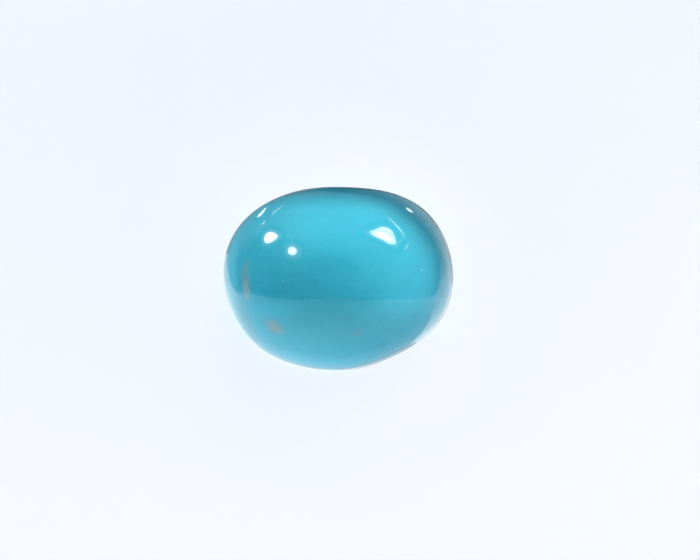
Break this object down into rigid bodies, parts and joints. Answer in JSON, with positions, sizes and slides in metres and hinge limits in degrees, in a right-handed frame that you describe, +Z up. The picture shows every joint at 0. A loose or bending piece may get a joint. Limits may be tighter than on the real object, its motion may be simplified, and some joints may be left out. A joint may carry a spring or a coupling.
{
  "type": "turquoise cabochon",
  "caption": "Polished oval turquoise stone with a high dome and a flat back, ready to set or to lie loose on a surface.",
  "frame": {"origin": "on the flat back's plane, under the middle of the stone's box", "axes": "+X along the stone's length, +Z up out of the flat back through the dome's top"},
  "size_m": [0.012, 0.0098, 0.0072],
  "materials": {
    "turquoise": "high polish, vitreous, with faint clouding and a few brown-grey matrix marks"
  },
  "bodies": {
    "root": {"turquoise_cabochon": "turquoise"}
  },
  "joints": []
}
